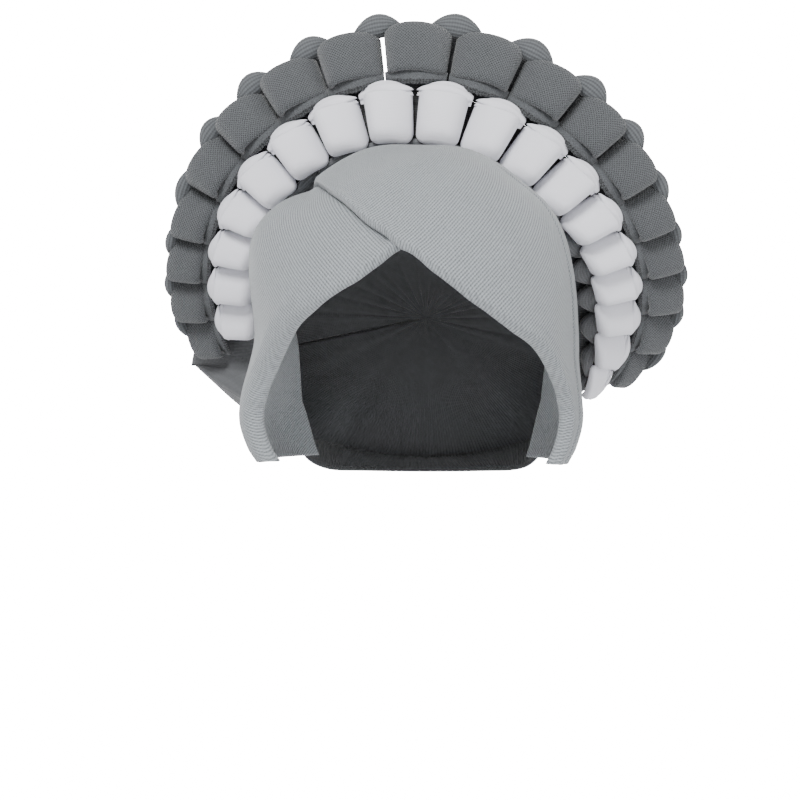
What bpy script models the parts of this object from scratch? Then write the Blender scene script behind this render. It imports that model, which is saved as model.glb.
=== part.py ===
# Tied gele head tie with two raised rows of padded links, as worn.
# Metres. X to the viewer's right, Y to the back of the head, Z up, front toward -Y.
# The origin is the middle of the head hollow at brow height.
import math

import bpy
from mathutils import Vector

OBJECT_NAME = "tied_gele_head_tie"

# Named sizes
HEAD_HALF_WIDTH = 0.0742
HEAD_HALF_LENGTH = 0.0940
CROWN_HEIGHT = 0.1132
SIDE_POWER = 2.4
CROWN_POWER = 2.5
CLOTH = 0.0022
GAP = 0.0004
WRAP_GAP = 0.0010
DROP_PER_DEGREE = 0.0010
EDGE_ROLL = 0.0006
EDGE_ROLL_INSIDE = 0.0004

HALO_RADIUS = 0.1170
HALO_CENTRE_X = 0.0020
HALO_BELOW_CROWN = 0.0612
HALO_CENTRE_Z = CROWN_HEIGHT - HALO_BELOW_CROWN
HALO_FRONT_Y = 0.0060
HALO_LEAN_Y = 0.0080
HALO_SWEEP_BACK = 0.0870
HALO_SWEEP_POWER = 1.7
HALO_SWEEP_LINKS = 9.5

LINK_HEIGHT = 0.0115
LINK_WALL = 0.0030
FULL_SPREAD = 0.0300
LINK_SHOULDER = 0.0008
LINK_EDGE_DROP = 0.0016
LINK_LIP_DROP = 0.0018
LINK_FOOT_GAP = 0.0003
GREY_HALF_PITCH = 0.445
WHITE_HALF_PITCH = 0.465
BACKING_FRONT = -0.0010
BACKING_THICK = 0.0070
PETAL_RISE = 0.0045
PETAL_REACH = 0.0098
PETAL_CURL = 0.0015
LINK_FILL = 0.0040
COVER_THICK = 0.0020
COVER_BULGE = 0.0330
COVER_BACK_Y = HEAD_HALF_LENGTH + COVER_BULGE
COVER_BACK_Z = 0.0440

GREY_LINKS = range(-8, 10)
WHITE_LINKS = [index + 0.5 for index in range(-8, 10)]

# Angles in degrees round the halo centre, radii as shares of HALO_RADIUS.
HALO_TABLE = [
    # link, grey_angle, grey_radius, white_angle, white_radius
    (-10.0, -119.1, 0.852, -121.3, 0.709),
    (-9.0, -109.1, 0.917, -111.3, 0.769),
    (-8.0, -99.4, 0.957, -101.5, 0.784),
    (-7.0, -90.1, 0.988, -91.2, 0.783),
    (-6.0, -80.7, 0.996, -80.8, 0.786),
    (-5.0, -70.7, 0.993, -70.9, 0.781),
    (-4.0, -58.0, 0.990, -60.1, 0.760),
    (-3.0, -45.3, 0.980, -47.2, 0.733),
    (-2.0, -31.4, 0.965, -33.1, 0.712),
    (-1.0, -16.5, 0.958, -17.8, 0.692),
    (0.0, -0.8, 0.953, -1.6, 0.676),
    (1.0, 15.7, 0.942, 15.1, 0.668),
    (2.0, 31.4, 0.941, 31.1, 0.670),
    (3.0, 45.5, 0.951, 46.3, 0.682),
    (4.0, 58.3, 0.960, 60.4, 0.707),
    (5.0, 70.2, 0.972, 72.2, 0.741),
    (6.0, 79.7, 0.987, 82.0, 0.769),
    (7.0, 88.5, 0.993, 90.9, 0.786),
    (8.0, 97.8, 0.979, 100.4, 0.801),
    (9.0, 108.7, 0.927, 110.8, 0.813),
    (10.0, 119.7, 0.857, 121.6, 0.810),
    (11.0, 130.7, 0.777, 131.6, 0.772),
]

# Front edges of the wraps on the head form: around (degrees from the top of the
# head), reach (degrees from the middle of the face).
OVER_EDGE = [
    (-33.0, 78.0), (-30.6, 65.2), (-25.8, 53.6), (-15.8, 39.7), (-6.6, 33.5), (0.0, 29.3),
    (14.6, 24.6), (39.1, 23.6), (57.2, 27.2), (70.3, 33.4), (78.9, 42.2), (86.4, 51.4),
    (90.0, 56.0), (102.0, 58.0), (119.0, 59.0),
]
UNDER_EDGE = [
    (-118.0, 59.0), (-102.0, 59.0), (-91.3, 58.0), (-85.4, 53.8), (-82.2, 50.4), (-74.7, 42.9),
    (-59.3, 32.7), (-34.3, 26.5), (-14.2, 27.2), (0.0, 31.5), (8.0, 34.5), (26.0, 44.0),
]
# Back edges of the wraps, under the raised rows.
WRAP_BACK = [
    # around, reach
    (-120.0, 140.0), (-90.0, 133.0), (-60.0, 112.0), (-30.0, 104.0), (0.0, 102.0),
    (30.0, 104.0), (60.0, 112.0), (90.0, 133.0), (120.0, 140.0),
]
# How far the wraps stand off the plain head form at the sides: the height is a share of
# CROWN_HEIGHT, the stand-offs are shares of HEAD_HALF_WIDTH.
SIDE_TABLE = [
    # height, left, right
    (-0.353, -0.094, -0.081),
    (-0.265, -0.061, -0.061),
    (-0.194, 0.007, -0.007),
    (-0.088, 0.057, 0.030),
    (0.018, 0.048, 0.022),
    (0.159, 0.016, 0.005),
    (0.300, 0.011, 0.003),
    (0.521, 0.051, 0.020),
    (0.654, 0.081, 0.030),
    (0.760, 0.074, 0.027),
    (0.866, 0.034, -0.022),
    (0.989, 0.000, -0.040),
]
# Where the back cover leaves the raised rows (0 white row, 1 grey row), by link.
COVER_LEAVE = [
    (-8.7, 1.35), (-7.6, 1.20), (-5.0, 0.90), (-3.0, 0.50), (0.0, 0.28),
    (3.0, 0.50), (5.0, 0.90), (7.0, 1.12), (9.2, 1.05), (10.1, 0.80),
]
# The cover's rim on the head beside the ends of the rows, by size of link number.
COVER_RIM = [
    # link, around, reach
    (6.5, 86.0, 116.0), (7.5, 91.0, 119.0), (8.5, 98.0, 122.0), (9.4, 106.0, 125.0), (10.1, 112.0, 128.0),
]
# The cover below the ends of the rows, from the viewer's right round the nape.
COVER_NAPE = [
    # around, reach, bulge_across, bulge_back, bulge_height
    (122.0, 137.0, 0.86, 1.080, -0.150),
    (126.0, 148.0, 0.62, 1.120, -0.220),
    (127.0, 162.0, 0.32, 1.150, -0.260),
    (127.5, 179.0, 0.00, 1.160, -0.270),
    (-127.0, 162.0, -0.32, 1.150, -0.260),
    (-126.0, 148.0, -0.62, 1.120, -0.220),
    (-121.0, 137.0, -0.90, 1.080, -0.170),
    (-114.0, 134.0, -1.12, 1.060, -0.110),
    (-108.0, 130.0, -1.32, 1.050, -0.015),
    (-102.0, 127.0, -1.46, 1.035, 0.080),
    (-98.0, 124.0, -1.54, 1.010, 0.160),
]

for old in list(bpy.data.objects):
    bpy.data.objects.remove(old, do_unlink=True)

collection = bpy.data.collections.new(OBJECT_NAME)
bpy.context.scene.collection.children.link(collection)


def signed_power(value, power):
    """Power of the size of a number, with its sign kept."""
    return math.copysign(abs(value) ** power, value)


def smooth(low, high, value):
    """Ease from 0 to 1 between two numbers."""
    share = min(1.0, max(0.0, (value - low) / (high - low)))
    return share * share * (3.0 - 2.0 * share)


def table(rows, column, at):
    """Smooth curve through one column of a table, by its first column."""
    if at <= rows[0][0]:
        return rows[0][column]
    if at >= rows[-1][0]:
        return rows[-1][column]
    spot = 0
    while rows[spot + 1][0] < at:
        spot += 1
    before = rows[max(spot - 1, 0)]
    start = rows[spot]
    end = rows[spot + 1]
    after = rows[min(spot + 2, len(rows) - 1)]
    width = end[0] - start[0]
    share = (at - start[0]) / width
    slope_in = (end[column] - before[column]) / (end[0] - before[0]) * width
    slope_out = (after[column] - start[column]) / (after[0] - start[0]) * width
    cube = share ** 3
    square = share ** 2
    return (start[column] * (2 * cube - 3 * square + 1) + slope_in * (cube - 2 * square + share)
            + end[column] * (3 * square - 2 * cube) + slope_out * (cube - square))


def side_stand_off(around, reach, up):
    """How far the wraps stand off the plain form, sideways, at one spot."""
    column = 1 if around < 0.0 else 2
    weight = smooth(42.0, 72.0, reach) * smooth(155.0, 110.0, reach) * smooth(18.0, 40.0, abs(around))
    return weight * HEAD_HALF_WIDTH * table(SIDE_TABLE, column, up / CROWN_HEIGHT)


def head_point(around, reach, lift):
    """Point on the head form: angle round from the crown, angle from the face, stand-off."""
    turn = math.radians(max(-90.0, min(90.0, around)))
    side = signed_power(math.sin(math.radians(reach)), 2.0 / SIDE_POWER)
    across = (HEAD_HALF_WIDTH + lift) * side * signed_power(math.sin(turn), 2.0 / CROWN_POWER)
    up = (CROWN_HEIGHT + lift) * side * signed_power(math.cos(turn), 2.0 / CROWN_POWER)
    along = -(HEAD_HALF_LENGTH + lift) * signed_power(math.cos(math.radians(reach)), 2.0 / SIDE_POWER)
    plain_up = up * CROWN_HEIGHT / (CROWN_HEIGHT + lift)
    drop = max(0.0, abs(around) - 90.0) * DROP_PER_DEGREE
    across += math.copysign(1.0, around) * side_stand_off(around, reach, plain_up - drop)
    up -= drop
    return Vector((across, along, up))


def head_level(point, lift):
    """Above 1 outside the head form with this stand-off, below 1 inside it."""
    high = max(point.z, 0.0) / (CROWN_HEIGHT + lift)
    back = abs(point.y) / (HEAD_HALF_LENGTH + lift)
    wide = abs(point.x) / (HEAD_HALF_WIDTH + lift)
    around = math.degrees(math.atan2(wide ** (CROWN_POWER / 2.0), high ** (CROWN_POWER / 2.0)))
    reach = math.degrees(math.acos(min(1.0, back ** (SIDE_POWER / 2.0))))
    if point.y > 0.0:
        reach = 180.0 - reach
    plain_up = point.z if point.z < 0.0 else high * CROWN_HEIGHT
    stand_off = side_stand_off(math.copysign(around, point.x), reach, plain_up)
    wide = max(0.0, abs(point.x) - stand_off) / (HEAD_HALF_WIDTH + lift)
    section = (wide ** CROWN_POWER + high ** CROWN_POWER) ** (SIDE_POWER / CROWN_POWER)
    return section + back ** SIDE_POWER


def row_point(link, row):
    """Middle of the grey row (1) or the white row (0) at a link number."""
    angle = math.radians(table(HALO_TABLE, 1 if row else 3, link))
    radius = HALO_RADIUS * table(HALO_TABLE, 2 if row else 4, link)
    sweep = HALO_SWEEP_BACK * (abs(link) / HALO_SWEEP_LINKS) ** HALO_SWEEP_POWER
    return Vector((HALO_CENTRE_X + radius * math.sin(angle),
                   HALO_FRONT_Y + HALO_LEAN_Y * row + sweep,
                   HALO_CENTRE_Z + radius * math.cos(angle)))


def halo_point(link, across, out):
    """Point of the raised rows: link number, 0 white row to 1 grey row, height to the viewer."""
    white = row_point(link, 0)
    grey = row_point(link, 1)
    along = (row_point(link + 0.25, 0) + row_point(link + 0.25, 1)
             - row_point(link - 0.25, 0) - row_point(link - 0.25, 1))
    normal = along.cross(grey - white)
    normal.normalize()
    if normal.y > 0.0:
        normal.negate()
    return white + (grey - white) * across + normal * out


def pitch_at(link, across):
    """Length of one link along the row, in metres."""
    return (halo_point(link + 0.5, across, 0.0) - halo_point(link - 0.5, across, 0.0)).length


def spread_at(link):
    """Distance between the two rows, in metres."""
    return (row_point(link, 1) - row_point(link, 0)).length


def finish(name, points, faces, colour):
    """Make one named object with its own material from points and faces."""
    mesh = bpy.data.meshes.new(name)
    mesh.from_pydata([tuple(point) for point in points], [], faces)
    mesh.validate()
    mesh.update()
    material = bpy.data.materials.new(name + "_cloth")
    material.use_nodes = True
    shader = material.node_tree.nodes["Principled BSDF"]
    shader.inputs["Base Color"].default_value = (*colour, 1.0)
    shader.inputs["Roughness"].default_value = 0.85
    mesh.materials.append(material)
    body = bpy.data.objects.new(name, mesh)
    collection.objects.link(body)
    return body


def slab(front_rows, back_rows, keep):
    """Closed body between two point grids; keep says which cells are cloth."""
    rows = len(front_rows)
    columns = len(front_rows[0])
    points = []
    front_at = {}
    back_at = {}
    faces = []

    def spot(grid, row, column):
        source = front_rows if grid is front_at else back_rows
        if (row, column) not in grid:
            grid[(row, column)] = len(points)
            points.append(source[row][column])
        return grid[(row, column)]

    def kept(row, column):
        return 0 <= row < rows - 1 and 0 <= column < columns - 1 and keep(row, column)

    for row in range(rows - 1):
        for column in range(columns - 1):
            if not kept(row, column):
                continue
            corners = [(row, column), (row, column + 1), (row + 1, column + 1), (row + 1, column)]
            faces.append([spot(front_at, *corner) for corner in corners])
            faces.append([spot(back_at, *corner) for corner in reversed(corners)])
            walls = [((row - 1, column), corners[0], corners[1]),
                     ((row, column + 1), corners[1], corners[2]),
                     ((row + 1, column), corners[2], corners[3]),
                     ((row, column - 1), corners[3], corners[0])]
            for beside, start, end in walls:
                if kept(*beside):
                    continue
                faces.append([spot(front_at, *end), spot(front_at, *start),
                              spot(back_at, *start), spot(back_at, *end)])
    return points, faces


def tube(rings):
    """Closed body through a list of equal rings, with flat ends."""
    count = len(rings[0])
    points = [point for ring in rings for point in ring]
    faces = []
    for station in range(len(rings) - 1):
        here = station * count
        there = here + count
        for corner in range(count):
            after = (corner + 1) % count
            faces.append([here + corner, here + after, there + after, there + corner])
    faces.append([corner for corner in reversed(range(count))])
    last = (len(rings) - 1) * count
    faces.append([last + corner for corner in range(count)])
    return points, faces


def all_cells(row, column):
    """Every cell is cloth."""
    return True


def outward(body_name, points, faces, colour):
    """Finish a body, turning its faces out if they point in."""
    volume = 0.0
    for face in faces:
        for corner in range(1, len(face) - 1):
            first = points[face[0]]
            volume += first.dot(points[face[corner]].cross(points[face[corner + 1]]))
    if volume < 0.0:
        faces = [list(reversed(face)) for face in faces]
    return finish(body_name, points, faces, colour)


# Wraps: two folded bands of cloth round the crown, meeting in a V over the forehead
def wrap_body(name, edge, lift, start, end, around_steps, reach_steps, crowd, colour):
    """One wrap as a shell with a full, rounded front edge."""
    outer = []
    inner = []
    for step in range(around_steps + 1):
        around = start + (end - start) * (step / around_steps) ** crowd
        front = table(edge, 1, around)
        back = table(WRAP_BACK, 1, around)
        outer_row = []
        inner_row = []
        for mark in range(reach_steps + 1):
            share = (mark / reach_steps) ** 1.15
            reach = front + (back - front) * share
            roll = math.exp(-(share / 0.03) ** 2)
            outer_row.append(head_point(around, reach, lift + CLOTH - EDGE_ROLL * roll))
            inner_row.append(head_point(around, reach, lift + EDGE_ROLL_INSIDE * roll))
        outer.append(outer_row)
        inner.append(inner_row)
    points, faces = slab(outer, inner, all_cells)
    return outward(name, points, faces, colour)


wrap_body("wrap_under", UNDER_EDGE, 0.0, -118.0, 26.0, 21, 11, 1.0, (0.39, 0.41, 0.43))
wrap_body("wrap_over", OVER_EDGE, CLOTH + WRAP_GAP, -33.0, 119.0, 21, 11, 1.4, (0.39, 0.41, 0.43))


# Backings: the joined back loops behind each row of links
def petal(link, centre):
    """1 at a gap between links, 0 at the middle of a link, shaped like a leaf."""
    away = abs(((link - centre + 0.5) % 1.0) - 0.5)
    return max(0.0, 1.0 - (away / 0.5) ** 2.3)


def rim_on_head(link, out, lift):
    """How far across the row the head form is met, from the white row inwards."""
    low = -0.80
    high = 0.0
    for _ in range(24):
        middle = 0.5 * (low + high)
        if head_level(halo_point(link, middle, out), lift) > 1.0:
            high = middle
        else:
            low = middle
    return high


def wrap_top(link):
    """Outside of the wraps above the head form, beside one spot of the rows."""
    return CLOTH + (CLOTH + WRAP_GAP) * smooth(-4.2, -2.6, link)


def backing_body(name, links, row, colour):
    """Back loops of one row as one ladder-like body with a lobed rim."""
    first = links[0] - 0.5
    last = links[-1] + 0.5
    steps = len(links) * 6
    gap_centre = links[0] - 0.5
    front_rows = []
    back_rows = []
    for step in range(steps + 1):
        link = first + (last - first) * step / steps
        lobe = petal(link, gap_centre)
        spread = spread_at(link)
        if row:
            outer = 1.365 + PETAL_REACH * lobe * (1.0 - 0.40 * smooth(1.0, 6.0, abs(link))) / spread
            marks = [0.565, 0.70, 1.34, outer]
            fill = LINK_FILL * (1.0 - lobe) ** 2 * spread / (1.1 * FULL_SPREAD)
            rise = [0.0, fill, fill, fill + (PETAL_RISE - fill) * lobe]
        else:
            lift = wrap_top(link) + 2.0 * GAP
            touch = max(rim_on_head(link, -BACKING_THICK, lift), rim_on_head(link, 0.0, lift))
            plain = -0.33
            inner = plain + (min(touch, plain - 0.06) - plain) * (0.25 + 0.75 * lobe)
            inner = max(inner, touch, -0.80 + 0.18 * smooth(4.8, 6.0, abs(link)))
            marks = [inner, max(-0.30, inner + 0.06), 0.30, 0.53]
            fill = LINK_FILL * (1.0 - lobe) ** 2 * spread / (1.1 * FULL_SPREAD)
            rise = [PETAL_CURL * lobe * smooth(-0.38, -0.46, inner), fill, fill, 0.0]
        front_rows.append([halo_point(link, mark, BACKING_FRONT + up) for mark, up in zip(marks, rise)])
        thin = [BACKING_THICK * (0.72 + 0.28 * lobe)] * 4
        back_rows.append([halo_point(link, mark, BACKING_FRONT - depth) for mark, depth in zip(marks, thin)])

    def keep(step, column):
        middle = first + (last - first) * (step + 0.5) / steps
        return not (row and column == 1 and -0.67 < middle < -0.33)

    points, faces = slab(front_rows, back_rows, keep)
    return outward(name, points, faces, colour)


grey_backing = backing_body("grey_backing", list(GREY_LINKS), 1, (0.16, 0.17, 0.18))
white_backing = backing_body("white_backing", WHITE_LINKS, 0, (0.20, 0.21, 0.22))


# Links: padded bands that arch over the front of each row
def seam_line(link):
    """Where the white row's lips meet the grey row's lips."""
    return 0.525 - 0.035 * math.cos(2.0 * math.pi * link)


def link_body(name, centre, row, colour):
    """One padded link: an arch along the row with a second lip at the shared seam."""
    rings = []
    stations = 8
    for station in range(stations + 1):
        turn = math.pi * (1.0 - station / stations)
        lean = signed_power(math.cos(turn), 0.55)
        rise = abs(math.sin(turn)) ** 0.62
        middle = 1.0 if row else 0.0
        pitch = pitch_at(centre, middle)
        outer_half = GREY_HALF_PITCH if row else WHITE_HALF_PITCH
        inner_half = outer_half - LINK_WALL / pitch
        link_out = centre + outer_half * lean
        link_in = centre + inner_half * lean
        scale = min(1.0, spread_at(centre) / FULL_SPREAD)
        height = LINK_HEIGHT * scale
        high = height * rise
        low = (height - LINK_WALL) * rise
        bulge = 1.0 - lean * lean
        if row:
            far = 1.300 + 0.065 * bulge
            near = 0.655
            lip = near - (near - seam_line(link_out) - 0.012) * (0.35 + 0.65 * min(1.0, 2.0 * bulge))
        else:
            far = -0.300 - 0.065 * bulge
            near = 0.365
            lip = near + (seam_line(link_out) - 0.012 - near) * min(1.0, 2.0 * bulge + 0.1)
        shoulder = LINK_SHOULDER * rise
        inset = (far - near) * 0.10
        ring = [
            halo_point(link_out, far - inset, high),
            halo_point(link_out, 0.5 * (far + near), high + shoulder),
            halo_point(link_out, near, high),
            halo_point(link_out, lip, high - LINK_LIP_DROP * rise - LINK_FOOT_GAP),
            halo_point(link_in, lip, low - shoulder),
            halo_point(link_in, far, low),
            halo_point(link_out, far, high - LINK_EDGE_DROP * rise - LINK_FOOT_GAP),
        ]
        rings.append(ring)
    points, faces = tube(rings)
    return outward(name, points, faces, colour)


for number, centre in enumerate(GREY_LINKS, 1):
    link_body("grey_link_%02d" % number, float(centre), 1, (0.165, 0.175, 0.185))
for number, centre in enumerate(WHITE_LINKS, 1):
    link_body("white_link_%02d" % number, centre, 0, (0.62, 0.62, 0.65))


# Back cover: the bag that closes the back of the head behind the raised rows
def cover_rim(link, behind):
    """Start of the cover on the wraps, behind one spot of the rows."""
    lift = wrap_top(link) + 2.0 * GAP + COVER_THICK
    near = halo_point(link, rim_on_head(link, behind, lift), behind)
    size = abs(link)
    around = math.copysign(table(COVER_RIM, 1, size), link)
    far = head_point(around, table(COVER_RIM, 2, size), lift)
    return near.lerp(far, smooth(6.0, 7.4, size))


def cover_path(front, leave):
    """From the rim over two points of the rows' back, then round to the middle of the back."""
    pole = Vector((0.0, COVER_BACK_Y, COVER_BACK_Z))
    outside = Vector((leave.x - pole.x, 0.0, leave.z - pole.z))
    handle_start = leave + Vector((0.0, 0.62 * (pole.y - leave.y), 0.0)) + outside * 0.03
    handle_end = pole + outside * 0.55
    curve = []
    count = 7
    for step in range(1, count):
        share = step / count
        rest = 1.0 - share
        curve.append(leave * rest ** 3 + handle_start * 3 * share * rest ** 2
                     + handle_end * 3 * share ** 2 * rest + pole * share ** 3)
    return front + [leave] + curve


def cover_body():
    """The bag as a shell closed round the head, with its thickness inside."""
    behind = BACKING_FRONT - BACKING_THICK - 2.0 * GAP
    rows = []
    steps = 36
    first = COVER_LEAVE[0][0]
    last = COVER_LEAVE[-1][0]
    for step in range(steps + 1):
        link = first + (last - first) * step / steps
        rim = cover_rim(link, behind)
        inner = halo_point(link, -0.10 - 0.59 * smooth(4.6, 5.8, abs(link)), behind)
        leave = halo_point(link, table(COVER_LEAVE, 1, link), behind)
        rows.append(cover_path([rim, rim.lerp(inner, 0.5), inner], leave))
    for around, reach, across, back, height in COVER_NAPE:
        rim = head_point(around, reach, CLOTH * 2.0 + WRAP_GAP + 2.0 * GAP + COVER_THICK)
        leave = Vector((HEAD_HALF_WIDTH * across, HEAD_HALF_LENGTH * back, CROWN_HEIGHT * height))
        rows.append(cover_path([rim, rim.lerp(leave, 0.30), rim.lerp(leave, 0.65)], leave))
    count = len(rows)
    columns = len(rows[0])
    middle = Vector((0.0, 0.35 * COVER_BACK_Y, 0.9 * COVER_BACK_Z))
    points = []
    for row in rows:
        points.extend(row)
    for row in range(count):
        for column in range(columns):
            along = rows[(row + 1) % count][column] - rows[row - 1][column]
            back = rows[row][min(column + 1, columns - 1)] - rows[row][max(column - 1, 0)]
            normal = along.cross(back)
            normal.normalize()
            if normal.dot(middle - rows[row][column]) < 0.0:
                normal.negate()
            points.append(rows[row][column] + normal * COVER_THICK)
    pole = Vector((0.0, COVER_BACK_Y, COVER_BACK_Z))
    points.append(pole)
    points.append(pole - Vector((0.0, COVER_THICK, 0.0)))
    inside = count * columns
    faces = []
    for row in range(count):
        here = row * columns
        there = (row + 1) % count * columns
        for column in range(columns - 1):
            faces.append([here + column, here + column + 1, there + column + 1, there + column])
            faces.append([inside + there + column, inside + there + column + 1,
                          inside + here + column + 1, inside + here + column])
        end = columns - 1
        faces.append([here + end, 2 * inside, there + end])
        faces.append([inside + there + end, 2 * inside + 1, inside + here + end])
        faces.append([there, inside + there, inside + here, here])
    return outward("rear_cover", points, faces, (0.185, 0.195, 0.205))


cover_body()
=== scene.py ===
import math

import bmesh
import bpy
import numpy as np
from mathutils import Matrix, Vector


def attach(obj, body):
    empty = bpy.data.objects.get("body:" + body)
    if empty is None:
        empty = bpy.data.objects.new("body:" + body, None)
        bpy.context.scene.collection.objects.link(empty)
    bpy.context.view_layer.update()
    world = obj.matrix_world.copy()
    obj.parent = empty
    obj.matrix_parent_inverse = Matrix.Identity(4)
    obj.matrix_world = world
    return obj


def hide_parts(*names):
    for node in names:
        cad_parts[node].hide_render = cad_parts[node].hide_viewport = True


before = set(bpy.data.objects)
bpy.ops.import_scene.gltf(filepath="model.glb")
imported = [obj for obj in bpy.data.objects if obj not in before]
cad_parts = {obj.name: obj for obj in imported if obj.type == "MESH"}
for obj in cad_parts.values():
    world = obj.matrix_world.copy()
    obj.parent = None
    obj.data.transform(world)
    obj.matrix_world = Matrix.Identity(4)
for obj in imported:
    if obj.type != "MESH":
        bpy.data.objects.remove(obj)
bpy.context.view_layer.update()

# Studio: a floor and a sky that the camera sees as plain white, a soft key lamp high in
# front, weaker lamps low on the right and high behind, and the camera at the height of the
# origin, a little to the right.
WHITE = (1.0, 1.0, 1.0, 1.0)
FLOOR_BELOW = 0.34
FLOOR_SIZE = 60.0
FLOOR_COLOUR = (0.86, 0.86, 0.87)
FLOOR_ROUGHNESS = 0.9
FLOOR_SEEN_STRENGTH = 18.0
SKY_FRONT_Y = -0.9
SKY_BACK_Y = 0.3
SKY_FRONT_STRENGTH = 0.22
SKY_BACK_STRENGTH = 1.25
SKY_SEEN_STRENGTH = 20.0
LAMPS_AIM = (0.0, 0.0, 0.06)
LAMPS = [
    # name, place, size, watts
    ("key_lamp", (-0.36, -1.32, 1.05), 0.60, 41.5),
    ("fill_lamp", (1.20, -1.10, 0.10), 0.90, 11.0),
    ("back_lamp", (0.20, 1.30, 1.10), 1.00, 16.0),
]
CAMERA_AWAY = 0.95
CAMERA_TURN = math.radians(3.0)
CAMERA_ASIDE = -0.00708
CAMERA_LENS = 90.6
CAMERA_SENSOR = 36.0


def feed(tree, node, **values):
    """Plain values or sockets on a node's inputs; a space in an input's name is written _."""
    for socket, value in values.items():
        target = node.inputs[socket.replace("_", " ")]
        if isinstance(value, bpy.types.NodeSocket):
            tree.links.new(value, target)
        else:
            target.default_value = value


def camera_ray_level(tree, seen):
    """Map Range node: this strength for rays from the camera, its To Min for all others."""
    rays = tree.nodes.new("ShaderNodeLightPath")
    level = tree.nodes.new("ShaderNodeMapRange")
    feed(tree, level, To_Max=seen, Value=rays.outputs["Is Camera Ray"])
    return level


bpy.ops.mesh.primitive_plane_add(size=FLOOR_SIZE, location=(0.0, 0.0, -FLOOR_BELOW))
floor = bpy.context.object
floor.name = "floor"
floor_paint = bpy.data.materials.new("pale_floor")
floor_paint.use_nodes = True
floor_tree = floor_paint.node_tree
floor_level = camera_ray_level(floor_tree, FLOOR_SEEN_STRENGTH)
feed(floor_tree, floor_tree.nodes["Principled BSDF"], Base_Color=(*FLOOR_COLOUR, 1.0),
     Roughness=FLOOR_ROUGHNESS, Emission_Color=WHITE, Emission_Strength=floor_level.outputs["Result"])
floor.data.materials.append(floor_paint)

sky = bpy.data.worlds.new("studio_sky")
sky.use_nodes = True
sky_tree = sky.node_tree
sky_where = sky_tree.nodes.new("ShaderNodeTexCoord")
sky_split = sky_tree.nodes.new("ShaderNodeSeparateXYZ")
sky_side = sky_tree.nodes.new("ShaderNodeMapRange")
sky_level = camera_ray_level(sky_tree, SKY_SEEN_STRENGTH)
feed(sky_tree, sky_split, Vector=sky_where.outputs["Generated"])
feed(sky_tree, sky_side, Value=sky_split.outputs["Y"], From_Min=SKY_FRONT_Y, From_Max=SKY_BACK_Y,
     To_Min=SKY_FRONT_STRENGTH, To_Max=SKY_BACK_STRENGTH)
feed(sky_tree, sky_level, To_Min=sky_side.outputs["Result"])
feed(sky_tree, sky_tree.nodes["Background"], Color=WHITE, Strength=sky_level.outputs["Result"])
bpy.context.scene.world = sky

for lamp_name, place, size, watts in LAMPS:
    light = bpy.data.lights.new(lamp_name, "AREA")
    light.energy = watts
    light.size = size
    lamp = bpy.data.objects.new(lamp_name, light)
    lamp.location = place
    lamp.rotation_euler = (Vector(LAMPS_AIM) - Vector(place)).to_track_quat("-Z", "Y").to_euler()
    bpy.context.scene.collection.objects.link(lamp)

camera_right = Vector((math.cos(CAMERA_TURN), math.sin(CAMERA_TURN), 0.0))
camera_back = Vector((math.sin(CAMERA_TURN), -math.cos(CAMERA_TURN), 0.0))
camera_data = bpy.data.cameras.new("photo_camera")
camera_data.lens = CAMERA_LENS
camera_data.sensor_width = CAMERA_SENSOR
camera = bpy.data.objects.new("photo_camera", camera_data)
camera.location = camera_back * CAMERA_AWAY + camera_right * CAMERA_ASIDE
camera.rotation_euler = (-camera_back).to_track_quat("-Z", "Y").to_euler()
bpy.context.scene.collection.objects.link(camera)
bpy.context.scene.camera = camera


# Wraps: two bands of light grey ribbed cloth, each folded along its front edge. The one
# from the viewer's right lies over the one from the left, and they leave a V open in
# front. They are pulled smooth round the head form and end under the raised rows.
HEAD_HALF_WIDTH = 0.0742
HEAD_HALF_LENGTH = 0.0940
CROWN_HEIGHT = 0.1132
SIDE_POWER = 2.4
CROWN_POWER = 2.5
DROP_PER_DEGREE = 0.0010
WRAP_THICK = 0.0022
WRAP_GAP = 0.0010
CLOTH_THICK = 0.0008
WRAP_COLOUR = (0.200, 0.216, 0.228)
RIB_PITCH = 0.00118
UNDER_RIB_TURN = math.radians(52.0)
OVER_RIB_TURN = math.radians(-50.0)
UNROLL = 0.0900
METRES_PER_DEGREE = 0.00160
WRAP_STEPS = 200
HEM_STEPS = 8
FOLD_STEPS = 17
OUTER_STEPS = 120
OUTER_CROWDING = 1.25
OUTER_LEVEL = 0.9
FOLD_RADIUS = 0.0013
HEM_DEPTH = 0.0120
EDGE_DIP = 0.0030
EDGE_DIP_WIDE = 0.0100
EDGE_DIP_POWER = 1.6
UNDER_DIP_LEAST = 0.35
OVER_DIP_LEAST = 0.10
OVER_DIP_AT_END = 0.40
FALL_PER_FOLD = 1.2
STEEPEST_EDGE = 62.0
EDGE_ROLL = 0.0012
EDGE_ROLL_WIDE = 0.0035
RIDGE_HEIGHT = 0.0004
WAVE_HEIGHT = 0.0002
GROOVE_DEPTH = 0.0015
GROOVE_WIDE = 2.6
LIP_DEPTH = 0.0024
LIP_REACH = 74.0
LIP_WIDE = 0.8
DENT_DEPTH = 0.0005
CROWN_HOLLOW = 0.0032

# Middles and widths of bells: degrees round from the crown, or shares of the way back.
CROWN_HOLLOW_BELL = (-36.0, 17.0)
DENT_BELL = (78.0, 14.0)
DENT_WAY_BELL = (0.25, 0.16)

# Waves over the cloth: radians for each degree round and each degree back; for the ridges
# with the middle and the width of their bell before them.
UNDER_RIDGES = (-20.0, 24.0, 0.32, 0.16)
OVER_RIDGES = (4.0, 22.0, 0.30, -0.18)
UNDER_WAVE = (0.09, 0.05)

# Softer roll on the sides: fold radius added (in FOLD_RADIUS), degrees where it starts and
# where it is full.
UNDER_PUFF = (1.8, -48.0, -80.0)
OVER_PUFF = (0.5, 45.0, 80.0)

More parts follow.
